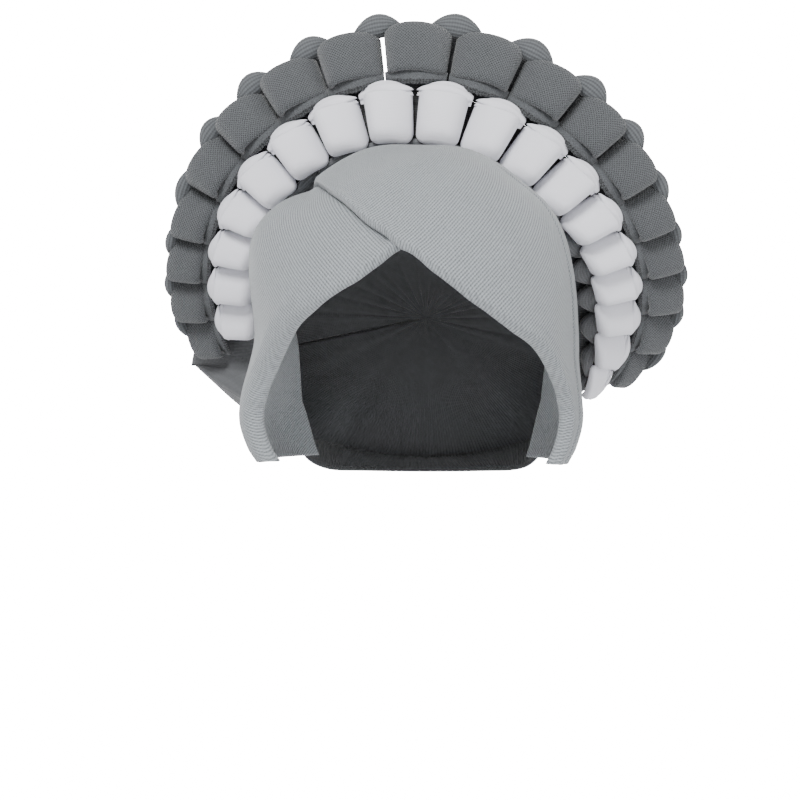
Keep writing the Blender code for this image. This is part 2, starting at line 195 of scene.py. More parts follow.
# Fades: degrees where a feature starts and where it is full, round or back as its use says.
SIDE_FRONT_FADE = (42.0, 72.0)
SIDE_BACK_FADE = (155.0, 110.0)
SIDE_CROWN_FADE = (18.0, 40.0)
HOLLOW_FRONT_FADE = (44.0, 70.0)
HOLLOW_BACK_FADE = (150.0, 112.0)
SWELL_FRONT_FADE = (48.0, 78.0)
SWELL_BACK_FADE = (112.0, 92.0)
ROLL_FADE = (-31.0, -22.0)
LIP_FADE = (22.0, 34.0)
UNDER_DIP_FADE = (-25.0, -60.0)
OVER_DIP_FADE = (8.0, 45.0)
OVER_DIP_END_FADE = (-22.0, -31.0)
FOLDS_FADE = (0.0, 0.05)

# Front edges, back edge, swell of the first wrap and stand-off of the sides.
OVER_EDGE = [
    # around, reach
    (-33.5, 93.0), (-30.4, 78.0), (-28.0, 65.2), (-24.3, 53.6), (-15.6, 39.9), (-6.6, 33.5), (0.0, 29.3),
    (14.6, 24.6), (39.1, 23.6), (57.2, 27.2), (70.3, 33.6), (78.9, 42.8), (86.4, 53.0),
    (90.0, 58.6), (102.0, 61.0), (119.0, 62.0),
]
UNDER_EDGE = [
    # around, reach
    (-118.0, 59.0), (-102.0, 59.0), (-91.3, 58.0), (-85.4, 53.8), (-82.2, 50.4), (-74.7, 42.9),
    (-59.3, 32.7), (-34.3, 26.5), (-14.2, 27.2), (0.0, 31.5), (8.0, 34.5), (26.0, 44.0),
]
WRAP_BACK = [
    # around, reach
    (-120.0, 140.0), (-90.0, 133.0), (-60.0, 112.0), (-30.0, 104.0), (0.0, 102.0),
    (30.0, 104.0), (60.0, 112.0), (90.0, 133.0), (120.0, 140.0),
]
UNDER_SWELL = [
    # around, height
    (-100.0, 0.0), (-84.0, 0.0002), (-70.0, 0.0020), (-56.0, 0.0048), (-43.0, 0.0046), (-33.5, 0.0),
]
SIDE_TABLE = [
    # height (share of CROWN_HEIGHT), left and right stand-off (shares of HEAD_HALF_WIDTH)
    (-0.353, -0.094, -0.141), (-0.265, -0.061, -0.116), (-0.194, 0.007, -0.062), (-0.088, 0.057, -0.020),
    (0.018, 0.044, -0.024), (0.150, -0.010, -0.040), (0.240, -0.036, -0.034), (0.330, -0.024, -0.026),
    (0.521, 0.045, 0.005), (0.654, 0.081, 0.028), (0.760, 0.074, 0.027), (0.866, 0.034, -0.022),
    (0.989, 0.000, -0.040),
]


def ease(start, full, value):
    """Smooth step t * t * (3 - 2 t), with t the value's share of the way from start to full."""
    share = np.clip((value - start) / (full - start), 0.0, 1.0)
    return share * share * (3.0 - 2.0 * share)


def bell(value, middle, wide):
    """Bell curve: 1 at the middle and 1 / e at wide from it."""
    return np.exp(-((value - middle) / wide) ** 2)


def at_least(least, share):
    """From least to 1 as the share goes from 0 to 1."""
    return least + (1.0 - least) * share


def signed_power(value, power):
    """The size of a number raised to a power, with the number's sign."""
    return np.sign(value) * np.abs(value) ** power


def curve_through(rows, column, at):
    """Cubic through one column of a table: between two rows it leaves and arrives with the
    slope from the row before to the row after, and it stays level past the ends."""
    rows = np.asarray(rows, float)
    keys = rows[:, 0]
    values = rows[:, column]
    at = np.clip(np.asarray(at, float), keys[0], keys[-1])
    spot = np.clip(np.searchsorted(keys, at) - 1, 0, len(keys) - 2)
    before = np.maximum(spot - 1, 0)
    after = np.minimum(spot + 2, len(keys) - 1)
    width = keys[spot + 1] - keys[spot]
    share = (at - keys[spot]) / width
    slope_in = (values[spot + 1] - values[before]) / (keys[spot + 1] - keys[before]) * width
    slope_out = (values[after] - values[spot]) / (keys[after] - keys[spot]) * width
    cube = share ** 3
    square = share ** 2
    return (values[spot] * (2 * cube - 3 * square + 1) + slope_in * (cube - 2 * square + share)
            + values[spot + 1] * (3 * square - 2 * cube) + slope_out * (cube - square))


def side_stand_off(around, reach, up):
    """Sideways stand-off of the wraps: the table's value for that side and height, faded out
    towards the front, the back and the crown."""
    weight = (ease(*SIDE_FRONT_FADE, reach) * ease(*SIDE_BACK_FADE, reach)
              * ease(*SIDE_CROWN_FADE, np.abs(around)))
    left = curve_through(SIDE_TABLE, 1, up / CROWN_HEIGHT)
    right = curve_through(SIDE_TABLE, 2, up / CROWN_HEIGHT)
    return weight * HEAD_HALF_WIDTH * np.where(around < 0.0, left, right)


def crown_hollow(around, reach):
    """Depth of the flatter place left of the crown: a bell over the angle round, faded out
    towards the front and the back."""
    fade = ease(*HOLLOW_FRONT_FADE, reach) * ease(*HOLLOW_BACK_FADE, reach)
    return CROWN_HOLLOW * bell(around, *CROWN_HOLLOW_BELL) * fade


def head_form(around, reach, lift):
    """Point on the head form. Width, length and height are superellipses of the angle round
    from the crown and the angle back from the front; past 90 degrees round, it drops straight."""
    around, reach, lift = np.broadcast_arrays(around, reach, lift)
    lift = lift - crown_hollow(around, reach)
    turn = np.radians(np.clip(around, -90.0, 90.0))
    side = np.abs(np.sin(np.radians(reach))) ** (2.0 / SIDE_POWER)
    across = (HEAD_HALF_WIDTH + lift) * side * signed_power(np.sin(turn), 2.0 / CROWN_POWER)
    up = (CROWN_HEIGHT + lift) * side * np.abs(np.cos(turn)) ** (2.0 / CROWN_POWER)
    along = -(HEAD_HALF_LENGTH + lift) * signed_power(np.cos(np.radians(reach)), 2.0 / SIDE_POWER)
    drop = np.maximum(0.0, np.abs(around) - 90.0) * DROP_PER_DEGREE
    plain_up = up * CROWN_HEIGHT / (CROWN_HEIGHT + lift) - drop
    across = across + np.where(around < 0.0, -1.0, 1.0) * side_stand_off(around, reach, plain_up)
    return np.stack([across, along, up - drop], -1)


def skin(name, points, chart, closed=False, capped=False, facing=None):
    """Mesh of quads over a grid of points (rows, columns, 3). The chart is its UV map in metres.
    A closed grid joins its last column to its first; caps close its first and last row."""
    rows, columns = points.shape[:2]
    row = np.arange(rows - 1)[:, None]
    column = np.arange(columns if closed else columns - 1)[None, :]
    beside = (column + 1) % columns
    quads = np.stack(np.broadcast_arrays(row * columns + column, row * columns + beside,
                                         (row + 1) * columns + beside, (row + 1) * columns + column), -1)
    uv = np.stack([chart[row, column], chart[row, column + 1], chart[row + 1, column + 1],
                   chart[row + 1, column]], 2).reshape(-1, 2)
    faces = quads.reshape(-1, 4).tolist()
    vertices = points.reshape(-1, 3)
    if capped:
        for line in (0, rows - 1):
            vertices = np.vstack([vertices, points[line].mean(0)])
            ring = line * columns + np.arange(columns)
            fan = np.stack([ring, np.roll(ring, -1), np.full(columns, len(vertices) - 1)], -1)
            faces += fan.tolist()
            middle = np.repeat(chart[line, :-1].mean(0)[None], columns, 0)
            uv = np.vstack([uv, np.stack([chart[line, :-1], chart[line, 1:], middle], 1).reshape(-1, 2)])
    mesh = bpy.data.meshes.new(name)
    mesh.from_pydata(vertices.tolist(), [], faces)
    layer = mesh.uv_layers.new(name="chart")
    layer.data.foreach_set("uv", uv.astype(np.float32).ravel())
    if facing is not None:
        normal = np.cross(points[1, 1] - points[0, 1], points[1, 1] - points[1, 0])
        turned = float(normal @ (points[1, 1] - np.asarray(facing))) > 0.0
    work = bmesh.new()
    work.from_mesh(mesh)
    if facing is None:
        bmesh.ops.recalc_face_normals(work, faces=work.faces[:])
    elif turned:
        bmesh.ops.reverse_faces(work, faces=work.faces[:])
    work.to_mesh(mesh)
    work.free()
    mesh.polygons.foreach_set("use_smooth", np.ones(len(mesh.polygons), bool))
    mesh.update()
    piece = bpy.data.objects.new(name, mesh)
    bpy.context.scene.collection.objects.link(piece)
    return piece


def chart_of(points, closed=False):
    """UV in metres for a grid: u is the length along the rows, v the length down the columns,
    both averaged over the grid so that the pattern stays straight."""
    if closed:
        points = np.concatenate([points, points[:, :1]], 1)
    down = np.linalg.norm(np.diff(points, axis=0), axis=2).mean(1)
    along = np.linalg.norm(np.diff(points, axis=1), axis=2).mean(0)
    u = np.concatenate([[0.0], np.cumsum(along)])
    v = np.concatenate([[0.0], np.cumsum(down)])
    return np.stack(np.meshgrid(u, v), -1)


def new_group(name, inputs, outputs):
    """Empty shader node group with named sockets, and its input and output nodes."""
    group = bpy.data.node_groups.new(name, "ShaderNodeTree")
    for socket, kind, value in inputs:
        made = group.interface.new_socket(socket, in_out="INPUT", socket_type=kind)
        if value is not None:
            made.default_value = value
    for socket, kind in outputs:
        group.interface.new_socket(socket, in_out="OUTPUT", socket_type=kind)
    return group, group.nodes.new("NodeGroupInput"), group.nodes.new("NodeGroupOutput")


def maths(tree, operation, first, second=None, third=None):
    """Math node on sockets or plain numbers; gives its output socket."""
    node = tree.nodes.new("ShaderNodeMath")
    node.operation = operation
    for slot, value in enumerate((first, second, third)):
        if value is None:
            continue
        if isinstance(value, (int, float)):
            node.inputs[slot].default_value = value
        else:
            tree.links.new(value, node.inputs[slot])
    return node.outputs[0]


# Ribbed knit: straight ribs at one pitch and slant, each rib a row of small stitches.
STITCH_SHARE = 0.25


def unit_wave(tree, turns):
    """Sine wave between 0 and 1 over a number of turns: 0.5 + 0.5 sin(2 pi t)."""
    wave = maths(tree, "SINE", maths(tree, "MULTIPLY", turns, math.tau))
    return maths(tree, "MULTIPLY_ADD", wave, 0.5, 0.5)


ribs, rib_in, rib_out = new_group(
    "ribbed_knit",
    [("Chart", "NodeSocketVector", None), ("Pitch", "NodeSocketFloat", 0.001),
     ("Slant", "NodeSocketFloat", 0.0)],
    [("Ridge", "NodeSocketFloat")])
rib_split = ribs.nodes.new("ShaderNodeSeparateXYZ")
ribs.links.new(rib_in.outputs["Chart"], rib_split.inputs[0])
rib_cos = maths(ribs, "COSINE", rib_in.outputs["Slant"])
rib_sin = maths(ribs, "SINE", rib_in.outputs["Slant"])
rib_across = maths(ribs, "ADD", maths(ribs, "MULTIPLY", rib_split.outputs[0], rib_cos),
                   maths(ribs, "MULTIPLY", rib_split.outputs[1], rib_sin))
rib_along = maths(ribs, "SUBTRACT", maths(ribs, "MULTIPLY", rib_split.outputs[1], rib_cos),
                  maths(ribs, "MULTIPLY", rib_split.outputs[0], rib_sin))
rib_wave = unit_wave(ribs, maths(ribs, "DIVIDE", rib_across, rib_in.outputs["Pitch"]))
stitch_wave = unit_wave(ribs, maths(ribs, "DIVIDE", rib_along, rib_in.outputs["Pitch"]))
rib_ridge = maths(ribs, "MULTIPLY_ADD", stitch_wave, STITCH_SHARE,
                  maths(ribs, "MULTIPLY", rib_wave, 1.0 - STITCH_SHARE))
ribs.links.new(rib_ridge, rib_out.inputs["Ridge"])

# Mesh knit: rows of small eyelets, every second row set half an eyelet aside.
EYELET_POWER = 1.6
EYELET_FLAT = 0.9
EYELET_SMOOTH = 0.1
eyelets, mesh_in, mesh_out = new_group(
    "mesh_knit",
    [("Chart", "NodeSocketVector", None), ("Pitch", "NodeSocketFloat", 0.001)],
    [("Eyelet", "NodeSocketFloat")])
mesh_split = eyelets.nodes.new("ShaderNodeSeparateXYZ")
eyelets.links.new(mesh_in.outputs["Chart"], mesh_split.inputs[0])
mesh_x = maths(eyelets, "DIVIDE", mesh_split.outputs[0], mesh_in.outputs["Pitch"])
mesh_y = maths(eyelets, "DIVIDE", mesh_split.outputs[1], mesh_in.outputs["Pitch"])
mesh_rise = maths(eyelets, "MULTIPLY", maths(eyelets, "ADD", mesh_x, mesh_y), math.pi)
mesh_fall = maths(eyelets, "MULTIPLY", maths(eyelets, "SUBTRACT", mesh_x, mesh_y), math.pi)
mesh_waves = maths(eyelets, "MULTIPLY", maths(eyelets, "SINE", mesh_rise),
                   maths(eyelets, "SINE", mesh_fall))
mesh_dot = maths(eyelets, "POWER", maths(eyelets, "ABSOLUTE", mesh_waves), EYELET_POWER)
eyelets.links.new(maths(eyelets, "SMOOTH_MIN", mesh_dot, EYELET_FLAT, EYELET_SMOOTH),
                     mesh_out.inputs["Eyelet"])

# Handled cloth: soft cloudy changes of tone over some millimetres and fine fibre speckle.
# Each noise has a scale and a detail.
CLOUD_NOISE = (55.0, 3.0)
SPECKLE_NOISE = (1700.0, 2.0)
FIBRE_SHARE = 0.5
SHEEN_ROUGHNESS = 0.5
tones, tone_in, tone_out = new_group(
    "handled_cloth",
    [("Colour", "NodeSocketColor", None), ("Clouds", "NodeSocketFloat", 0.05),
     ("Speckle", "NodeSocketFloat", 0.05), ("Weave", "NodeSocketFloat", 0.0),
     ("Weave Depth", "NodeSocketFloat", 0.1)],
    [("Colour", "NodeSocketColor"), ("Fibre", "NodeSocketFloat")])
tone_where = tones.nodes.new("ShaderNodeTexCoord")
clouds = tones.nodes.new("ShaderNodeTexNoise")
speckle = tones.nodes.new("ShaderNodeTexNoise")
for noise, (scale, detail) in ((clouds, CLOUD_NOISE), (speckle, SPECKLE_NOISE)):
    feed(tones, noise, Scale=scale, Detail=detail, Vector=tone_where.outputs["Object"])
cloud_share = maths(tones, "MULTIPLY", maths(tones, "SUBTRACT", clouds.outputs["Fac"], 0.5),
                    maths(tones, "MULTIPLY", tone_in.outputs["Clouds"], 2.0))
speckle_share = maths(tones, "MULTIPLY", maths(tones, "SUBTRACT", speckle.outputs["Fac"], 0.5),
                      maths(tones, "MULTIPLY", tone_in.outputs["Speckle"], 2.0))
weave_share = maths(tones, "MULTIPLY", maths(tones, "SUBTRACT", tone_in.outputs["Weave"], 0.5),
                    tone_in.outputs["Weave Depth"])
tone_sum = maths(tones, "ADD", maths(tones, "ADD", cloud_share, speckle_share), weave_share)
tone_factor = maths(tones, "ADD", tone_sum, 1.0)
tone_scale = tones.nodes.new("ShaderNodeVectorMath")
tone_scale.operation = "SCALE"
feed(tones, tone_scale, Vector=tone_in.outputs["Colour"], Scale=tone_factor)
feed(tones, tone_out, Colour=tone_scale.outputs[0], Fibre=speckle.outputs["Fac"])


def group_node(tree, group, **values):
    """Node that places a group in a material, with plain values or sockets on its inputs."""
    node = tree.nodes.new("ShaderNodeGroup")
    node.node_tree = group
    feed(tree, node, **values)
    return node


def cloth_material(name, colour, pattern, pitch, slant=0.0, weave_depth=0.16, clouds=0.05, speckle=0.06,
                   relief=0.00016, roughness=0.86, sheen=0.25):
    """Cloth finish: the colour goes through handled_cloth, darkened between ribs or in eyelets,
    and the same pattern with the fibre speckle drives the bump."""
    material = bpy.data.materials.new(name)
    material.use_nodes = True
    tree = material.node_tree
    shader = tree.nodes["Principled BSDF"]
    where = tree.nodes.new("ShaderNodeUVMap")
    where.uv_map = "chart"
    if pattern == "ribs":
        knit = group_node(tree, ribs, Chart=where.outputs["UV"], Pitch=pitch, Slant=slant)
        weave = knit.outputs["Ridge"]
    else:
        knit = group_node(tree, eyelets, Chart=where.outputs["UV"], Pitch=pitch)
        weave = maths(tree, "SUBTRACT", 1.0, knit.outputs["Eyelet"])
    tone = group_node(tree, tones, Colour=(*colour, 1.0), Clouds=clouds, Speckle=speckle, Weave=weave,
                      Weave_Depth=weave_depth)
    height = maths(tree, "MULTIPLY_ADD", tone.outputs["Fibre"], FIBRE_SHARE, weave)
    bump = tree.nodes.new("ShaderNodeBump")
    feed(tree, bump, Distance=relief, Strength=1.0, Height=height)
    feed(tree, shader, Base_Color=tone.outputs["Colour"], Normal=bump.outputs["Normal"],
         Roughness=roughness, Sheen_Weight=sheen, Sheen_Roughness=SHEEN_ROUGHNESS)
    return material


wrap_cloth = cloth_material("wrap_ribbed_cloth", WRAP_COLOUR, "ribs", RIB_PITCH, weave_depth=0.85,
                            speckle=0.45, relief=0.00022)


def wrap_profile():
    """Steps from the hem inside round the fold to the back edge: share of the hem's depth,
    distance back from the front edge and height off the fold's centre (in fold radii), and
    share of the way from the fold to the back edge."""
    bend = np.linspace(-0.5 * math.pi, 0.5 * math.pi, FOLD_STEPS, endpoint=False)
    share = np.linspace(0.0, 1.0, OUTER_STEPS) ** OUTER_CROWDING
    hem = np.concatenate([np.linspace(1.0, 0.0, HEM_STEPS, endpoint=False),
                          np.zeros(FOLD_STEPS + OUTER_STEPS)])
    curl = np.concatenate([np.ones(HEM_STEPS), 1.0 - np.cos(bend), np.ones(OUTER_STEPS)])
    height = np.concatenate([np.full(HEM_STEPS, -1.0), np.sin(bend), np.ones(OUTER_STEPS)])
    way = np.concatenate([np.zeros(HEM_STEPS + FOLD_STEPS), share])
    return hem, curl, height, way


def wrap_chart(points, turn):
    """UV in metres of a wrap: angle round the head and angle up, times one radius, turned so
    that the ribs run square to the wrap's front edge."""
    level = np.hypot(points[..., 0], points[..., 1])
    round_way = UNROLL * np.arctan2(points[..., 0], -points[..., 1])
    up_way = UNROLL * np.arctan2(points[..., 2], level)
    return np.stack([round_way * math.cos(turn) + up_way * math.sin(turn),
                     up_way * math.cos(turn) - round_way * math.sin(turn)], -1)


def give_wall(piece):
    """Thickness of the cloth, inside its outer face."""
    wall = piece.modifiers.new("cloth_wall", "SOLIDIFY")
    wall.thickness = CLOTH_THICK
    wall.offset = -1.0


def wrap_cloth_piece(name, edge, lift, folds, dip, puff, rib_turn):
    """One wrap: the profile of hem, fold and outer face is set along the front edge's curve
    and carried back to the wrap's back edge, with soft pulled folds over the outer face. The
    folded edge dips inwards by dip metres, and moves back to stay in its line."""
    around = np.linspace(edge[0][0], edge[-1][0], WRAP_STEPS)[None, :]
    hem, curl, height, way = (values[:, None] for values in wrap_profile())
    radius = FOLD_RADIUS * (1.0 + puff[0] * ease(puff[1], puff[2], around))
    back = radius * curl + (HEM_DEPTH - radius) * hem
    front = curve_through(edge, 1, around)
    across_per_degree = HEAD_HALF_WIDTH * math.radians(2.0 / SIDE_POWER)
    steepness = np.tan(np.radians(np.clip(front, 0.0, STEEPEST_EDGE)))
    fallen_edge = dip(around) + FALL_PER_FOLD * (radius - FOLD_RADIUS)
    front = front + fallen_edge * steepness / across_per_degree
    rear = curve_through(WRAP_BACK, 1, around)
    reach = front + back / METRES_PER_DEGREE + (rear - front - radius / METRES_PER_DEGREE) * way
    level = lift + WRAP_THICK - radius + radius * height
    from_edge = (rear - front) * way * METRES_PER_DEGREE
    on_face = height > OUTER_LEVEL
    roll = EDGE_ROLL * bell(from_edge, 0.0, EDGE_ROLL_WIDE) * on_face * ease(*ROLL_FADE, around)
    pulled = folds(around, reach, way) * on_face * ease(*FOLDS_FADE, way)
    near_edge = np.clip(1.0 - (back + from_edge) / EDGE_DIP_WIDE, 0.0, 1.0)
    fallen = dip(around) * near_edge ** EDGE_DIP_POWER
    points = head_form(around, reach, level + roll + pulled - fallen)
    piece = skin(name, points, wrap_chart(points, rib_turn), facing=(0.0, 0.0, 0.0))
    give_wall(piece)
    piece.data.materials.append(wrap_cloth)
    return piece


def ridges(around, reach, middle, wide, turn, lean):
    """Height of low ridges: a slanted sine under a bell over the angle round."""
    return RIDGE_HEIGHT * bell(around, middle, wide) * np.sin(turn * around + lean * reach)


def under_folds(around, reach, way):
    """Height of the first wrap's folds: low ridges that run back from the crossing, a groove
    where the other wrap's edge presses, and a swell on the side."""
    wave = WAVE_HEIGHT * np.cos(UNDER_WAVE[0] * around + UNDER_WAVE[1] * reach)
    groove = GROOVE_DEPTH * bell(reach, curve_through(OVER_EDGE, 1, around), GROOVE_WIDE)
    swell = (curve_through(UNDER_SWELL, 1, around) * ease(*SWELL_FRONT_FADE, reach)
             * ease(*SWELL_BACK_FADE, reach))
    return ridges(around, reach, *UNDER_RIDGES) - wave - groove + swell


def over_folds(around, reach, way):
    """Height of the second wrap's folds: low ridges fanned from the crossing, a shallow dent
    on the side and the narrow lip where it is pulled tight under the rows."""
    dent = DENT_DEPTH * bell(around, *DENT_BELL) * bell(way, *DENT_WAY_BELL)
    lip = LIP_DEPTH * ease(*LIP_FADE, around) * bell(reach, LIP_REACH, LIP_WIDE)
    return ridges(around, reach, *OVER_RIDGES) - dent - lip


def under_dip(around):
    """Dip of the first wrap's edge: full at the side, less towards the crossing."""
    return EDGE_DIP * at_least(UNDER_DIP_LEAST, ease(*UNDER_DIP_FADE, around))


def over_dip(around):
    """Dip of the second wrap's edge: small where it lies on the first, full at the side,
    and deeper again where its upper end goes under the rows."""
    return EDGE_DIP * (OVER_DIP_LEAST + (1.0 - OVER_DIP_LEAST) * ease(*OVER_DIP_FADE, around)
                       + OVER_DIP_AT_END * ease(*OVER_DIP_END_FADE, around))


wrap_under = wrap_cloth_piece("wrap_under_cloth", UNDER_EDGE, 0.0, under_folds, under_dip, UNDER_PUFF,
                              UNDER_RIB_TURN)
wrap_over = wrap_cloth_piece("wrap_over_cloth", OVER_EDGE, WRAP_THICK + WRAP_GAP, over_folds, over_dip,
                             OVER_PUFF, OVER_RIB_TURN)
for wrap, node in ((wrap_under, "wrap_under"), (wrap_over, "wrap_over")):
    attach(wrap, "root")
    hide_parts(node)


# Grey row: padded loops of dark grey mesh knit, each a band that arches to the front, with
# two thin ragged flaps at its inner end, and a back loop between every two bands whose
# leaf-shaped end shows at the rim. Places across go from the white row (0) to the grey (1).
HALO_RADIUS = 0.1170
HALO_BELOW_CROWN = 0.0612
HALO_CENTRE = (0.0020, 0.0060, CROWN_HEIGHT - HALO_BELOW_CROWN)
HALO_LEAN_Y = 0.0080
HALO_SWEEP_BACK = 0.0870
HALO_SWEEP_POWER = 1.7
HALO_SWEEP_LINKS = 9.5
LINK_HEIGHT = 0.0115
FULL_SPREAD = 0.0300
LEAN_FORWARD = 0.42
LOWEST_SIDE_AT = 0.42
LOWEST_SIDE_WIDE = 0.9
STRIP_STATIONS = 49
STRIP_STRAIGHT = 12
STRIP_BENDS = 7
STRIP_TUCK = 0.04
STRIP_ACROSS = (-0.6, 1.6)
PAD_BOXY = 0.85
MESH_PITCH = 0.00140
GREY_COLOUR = (0.0430, 0.0465, 0.0500)
GREY_THICK = 0.0034
GREY_BOXY = (0.76, 0.78)
GREY_HALF_LINKS = (0.488, 0.488)
GREY_FAR = 1.335
GREY_FAR_SWELL = 0.080
GREY_FAR_CORNER = 0.045
GREY_FAR_POWER = 12
GREY_NEAR = 0.765
GREY_NEAR_CORNER = 0.055
GREY_NEAR_POWER = 9
GREY_END_ROLL = 0.10
GREY_END_POWER = 3.2
GREY_LINKS = np.arange(-8.0, 10.0).tolist()
FLAPS = [
    # letter, depth, behind
    ("a", 0.095, 0.0), ("b", 0.130, 0.0007),
]
FLAP_SHIFT = 0.03
FLAP_FRONT = 0.0068
FLAP_FALL = 0.0040
FLAP_THICK = 0.0013
FLAP_THIN_SHARE = 0.45
FLAP_EDGE = 0.665
FLAP_ROOT = 0.790
FLAP_LEAF = 1.9
NOTCH_DEPTH = 0.012
NOTCH_TURNS = (31.0, 13.0)
THREAD_LOW = 0.004
THREAD_HIGH = 0.026
THREAD_RAISED = 0.0004
THREAD_HALF = 0.0003
THREAD_HALF_LINKS = 0.47
LOOP_COLOUR = (0.070, 0.073, 0.078)
BACK_FRONT = -0.0010
BACK_THICK = 0.0070
LOOP_SUNK = 0.0020
LOOP_HALF = 0.5 * (BACK_THICK - LOOP_SUNK)
LOOP_MIDDLE = BACK_FRONT - LOOP_SUNK - LOOP_HALF
LOOP_THIN_SHARE = 0.62
SEAM_ACROSS = 0.548
GREY_LOOP_END = 1.480
GREY_GAPS = np.arange(-7.5, 10.0).tolist()
LAST_GAP = 9.5
WHOLE_LOOP = ((0.0, 0.5, ""),)
OTHER_LOOPS = {-0.5: ((-0.31, 0.19, "a"), (0.31, 0.19, "b")), LAST_GAP: ((-0.25, 0.25, ""),)}
PETAL_WIDTH = 0.0106
PETAL_NARROWING = 0.52
PETAL_FADE = (2.2, 6.0)
PETAL_HALF_DEPTH = 0.0046
PETAL_TIP_SHARE = 0.12
PETAL_TIP_POWER = 0.8
PETAL_ROOT = 1.450
PETAL_INWARD = 0.110
PETAL_HIDDEN = 0.07
PETAL_FRONT = 0.0030
PETAL_SHIFT = 0.07
PETAL_HALF_LINKS = 0.37
HALO_TABLE = [
    # link, grey_angle, grey_radius, white_angle, white_radius
    (-10.0, -119.1, 0.852, -121.3, 0.709), (-9.0, -109.1, 0.917, -111.3, 0.769),
    (-8.0, -99.4, 0.957, -101.5, 0.784), (-7.0, -90.1, 0.988, -91.2, 0.783),
    (-6.0, -80.7, 0.996, -80.8, 0.786), (-5.0, -70.7, 0.993, -70.9, 0.781),
    (-4.0, -58.0, 0.990, -60.1, 0.760), (-3.0, -45.3, 0.980, -47.2, 0.733),
    (-2.0, -31.4, 0.965, -33.1, 0.712), (-1.0, -16.5, 0.958, -17.8, 0.692),
    (0.0, -0.8, 0.953, -1.6, 0.676), (1.0, 15.7, 0.942, 15.1, 0.668),
    (2.0, 31.4, 0.941, 31.1, 0.670), (3.0, 45.5, 0.951, 46.3, 0.682),
    (4.0, 58.3, 0.960, 60.4, 0.707), (5.0, 70.2, 0.972, 72.2, 0.741),
    (6.0, 79.7, 0.987, 82.0, 0.769), (7.0, 88.5, 0.993, 90.9, 0.786),
    (8.0, 97.8, 0.979, 100.4, 0.801), (9.0, 108.7, 0.927, 110.8, 0.813),
    (10.0, 119.7, 0.857, 121.6, 0.810), (11.0, 130.7, 0.777, 131.6, 0.772),
]


def row_point(link, row):
    """Middle of the grey row (1) or the white row (0): angle and radius from the table, and a
    sweep to the back that grows with a power of the link number's size."""
    link = np.asarray(link, float)
    angle = np.radians(curve_through(HALO_TABLE, 1 if row else 3, link))
    radius = HALO_RADIUS * curve_through(HALO_TABLE, 2 if row else 4, link)
    sweep = HALO_SWEEP_BACK * (np.abs(link) / HALO_SWEEP_LINKS) ** HALO_SWEEP_POWER
    return np.stack([HALO_CENTRE[0] + radius * np.sin(angle),
                     HALO_CENTRE[1] + HALO_LEAN_Y * row + sweep,
                     HALO_CENTRE[2] + radius * np.cos(angle)], -1)


def halo_point(link, across, out):
    """Point of the raised rows: along the line from the white row (0) to the grey row (1) at a
    link number, and out along the normal of that line and the rows' direction."""
    link, across, out = np.broadcast_arrays(link, across, out)
    white = row_point(link, 0)
    grey = row_point(link, 1)
    along = (row_point(link + 0.25, 0) + row_point(link + 0.25, 1)
             - row_point(link - 0.25, 0) - row_point(link - 0.25, 1))
    normal = np.cross(along, grey - white)
    normal /= np.linalg.norm(normal, axis=-1, keepdims=True)
    normal *= np.where(normal[..., 1:2] > 0.0, -1.0, 1.0)
    return white + (grey - white) * across[..., None] + normal * out[..., None]


def pitch_at(link, across):
    """Length of one link along the row at a share of the way from the white to the grey row."""
    return np.linalg.norm(halo_point(link + 0.5, across, 0.0) - halo_point(link - 0.5, across, 0.0), axis=-1)


def spread_at(link):
    """Distance between the two rows."""
    return np.linalg.norm(row_point(link, 1) - row_point(link, 0), axis=-1)


def strip_section(length, thick):
    """Section of a padded strip, as shares: place along its length (0 far end to 1 near end)
    and height off its middle in half thicknesses. Two straight sides joined by half circles."""
    end = 0.5 * thick / length
    line = np.linspace(end, 1.0 - end, STRIP_STRAIGHT, endpoint=False)
    turn = np.linspace(0.0, math.pi, STRIP_BENDS, endpoint=False)
    place = np.concatenate([line, 1.0 - end + end * np.sin(turn), line[::-1] + (line[1] - line[0]),
                            end - end * np.sin(turn)])
    height = np.concatenate([np.ones(STRIP_STRAIGHT), np.cos(turn), -np.ones(STRIP_STRAIGHT), -np.cos(turn)])
    return place, height


def lower_side(link):
    """Which way is down along the row: from -1 left of the top to 1 right of it."""
    return float(np.tanh((float(link) - LOWEST_SIDE_AT) / LOWEST_SIDE_WIDE))


def arched_strip(name, centre, edges, half_links, height, thick, crown, boxy):
    """Padded strip bent to the front as a flat-topped arch. The arch is a superellipse in the
    plane of the row and its normal; the strip's rounded section is set off along the arch's
    normal. From -1 to 1 over the arch, edges gives its far and near edge (across)."""
    turn = np.linspace(math.pi, 0.0, STRIP_STATIONS)[:, None]
    lean = signed_power(np.cos(turn), boxy[0])
    rise = np.abs(np.sin(turn)) ** boxy[1]
    far, near = edges(lean)
    length = float(np.abs(near - far).mean()) * float(spread_at(centre))
    place, side = (values[None, :] for values in strip_section(length, thick))
    across = far + (near - far) * place
    high = height * crown(place) * (1.0 + LEAN_FORWARD * lower_side(centre) * lean)
    half_share = half_links[0] + (half_links[1] - half_links[0]) * place
    half = half_share * pitch_at(centre, np.clip(across, *STRIP_ACROSS))
    normal_link = signed_power(lean, 2.0 / boxy[0] - 1.0) / half
    normal_out = rise ** (2.0 / boxy[1] - 1.0) / high
    size = np.hypot(normal_link, normal_out)
    offset = 0.5 * thick * (side - 1.0)
    tucked = 1.0 - STRIP_TUCK * (1.0 - rise) ** 2
    link = centre + (half * lean * tucked + offset * normal_link / size) / pitch_at(centre, across)
    out = high * rise + offset * normal_out / size
    points = halo_point(link, across, out)
    return skin(name, points, chart_of(points, closed=True), closed=True, capped=True)


def round_corner(lean, power):
    """1 over the middle of a strip, falling to 0 at its sides as a rounded corner."""
    return np.sqrt(np.maximum(0.0, 1.0 - np.abs(lean) ** power))


